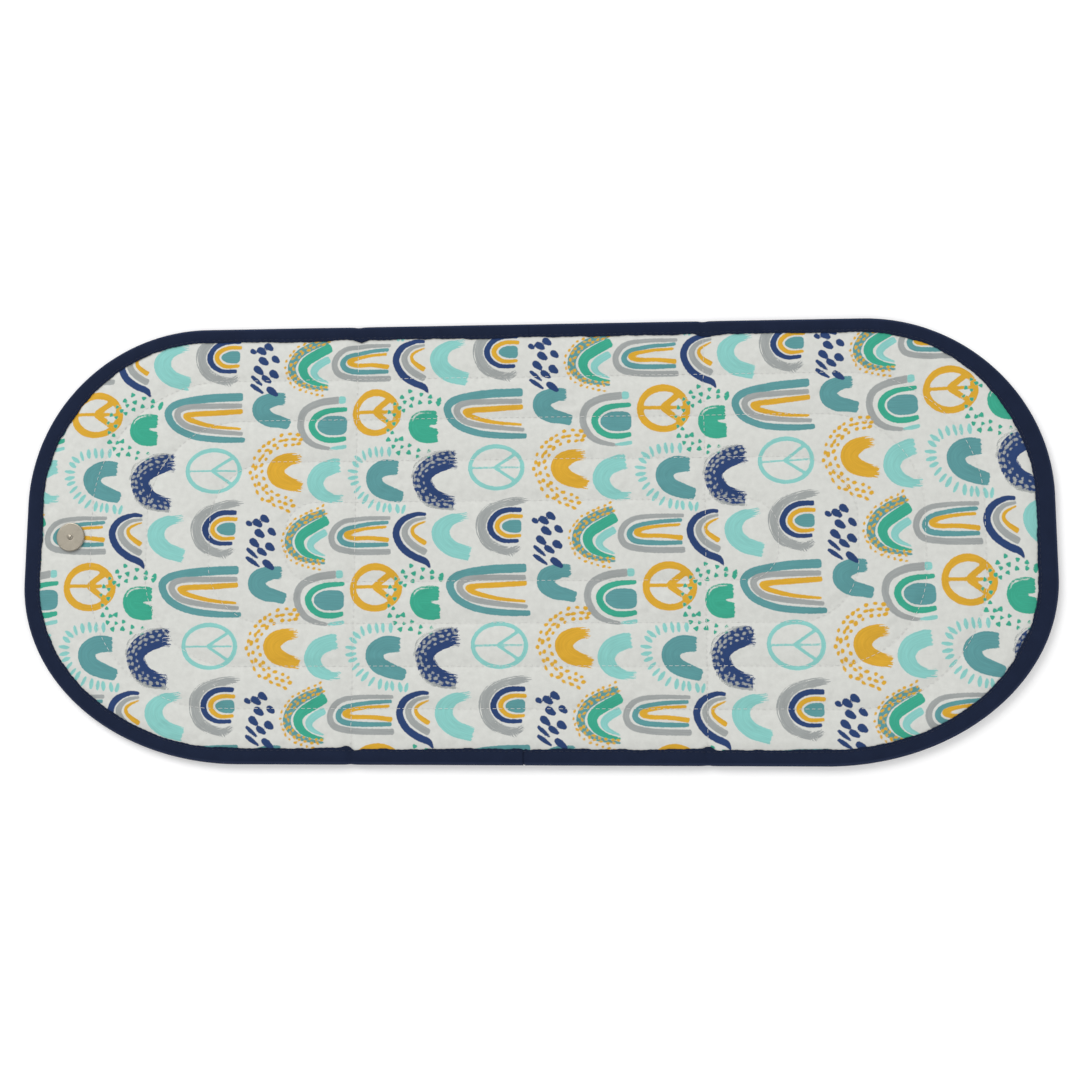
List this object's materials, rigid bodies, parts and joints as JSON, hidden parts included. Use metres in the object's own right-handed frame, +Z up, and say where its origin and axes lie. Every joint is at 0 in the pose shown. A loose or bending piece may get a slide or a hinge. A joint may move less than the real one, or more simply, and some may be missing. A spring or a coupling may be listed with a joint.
{
  "type": "changing pad",
  "caption": "Flat quilted pad with rounded ends and a bound edge that folds in three like a letter and closes with a magnetic snap.",
  "frame": {"origin": "under the middle of the open pad, on the surface that it lies on", "axes": "+X along the pad's length towards the end without the snap's stud, +Y to its back edge, +Z up out of the printed face"},
  "size_m": [0.664, 0.286, 0.0085],
  "materials": {
    "printed_cotton": "plain-weave cotton, off-white ground with a small painted-arch print in teal, mint, green, gold, grey and navy, matt",
    "wadding": "needled polyester wadding, white",
    "backing": "navy laminated polyester knit, wipe-clean, soft satin",
    "binding": "navy twill bias tape, matt",
    "white_thread": "white spun polyester sewing thread",
    "navy_thread": "navy spun polyester sewing thread",
    "snap_plating": "satin nickel plating with fine turned rings",
    "snap_steel": "plain stamped steel",
    "magnet": "sintered ferrite, matt black",
    "interfacing": "stiff non-woven interfacing, white"
  },
  "bodies": {
    "centre_panel": {"backing_centre": "backing", "batting_centre": "wadding", "binding_back": "binding", "binding_front_left": "binding", "binding_front_right": "binding", "binding_seam_back": "navy_thread", "binding_seam_front": "navy_thread", "fold_seam_left": "white_thread", "fold_seam_right": "white_thread", "quilting_centre_back_1": "white_thread", "quilting_centre_back_2": "white_thread", "quilting_centre_back_3": "white_thread", "quilting_centre_back_4": "white_thread", "quilting_centre_front_1": "white_thread", "quilting_centre_front_2": "white_thread", "quilting_centre_front_3": "white_thread", "quilting_centre_front_4": "white_thread", "top_fabric_centre": "printed_cotton"},
    "left_panel": {"backing_left": "backing", "batting_left": "wadding", "binding_left": "binding", "binding_seam_left": "navy_thread", "quilting_left_1": "white_thread", "quilting_left_2": "white_thread", "quilting_left_3": "white_thread", "quilting_left_4": "white_thread", "snap_stud_cap": "snap_plating", "snap_stud_clip": "snap_steel", "snap_stud_patch": "interfacing", "snap_stud_washer": "snap_steel", "top_fabric_left": "printed_cotton"},
    "right_panel": {"backing_right": "backing", "batting_right": "wadding", "binding_right": "binding", "binding_seam_right": "navy_thread", "quilting_right_1": "white_thread", "quilting_right_2": "white_thread", "quilting_right_3": "white_thread", "quilting_right_4": "white_thread", "snap_socket_case": "snap_plating", "snap_socket_clip": "snap_steel", "snap_socket_magnet": "magnet", "snap_socket_patch": "interfacing", "snap_socket_washer": "snap_steel", "top_fabric_right": "printed_cotton"}
  },
  "joints": [
    {"name": "right_fold", "type": "hinge", "parent": "centre_panel", "child": "right_panel", "pos_m": [0.113, 0, 0.00715], "axis": [0, -1, 0], "range_deg": [0, 180]},
    {"name": "left_fold", "type": "hinge", "parent": "centre_panel", "child": "left_panel", "pos_m": [-0.113, 0, 0.01105], "axis": [0, 1, 0], "range_deg": [0, 180]}
  ]
}
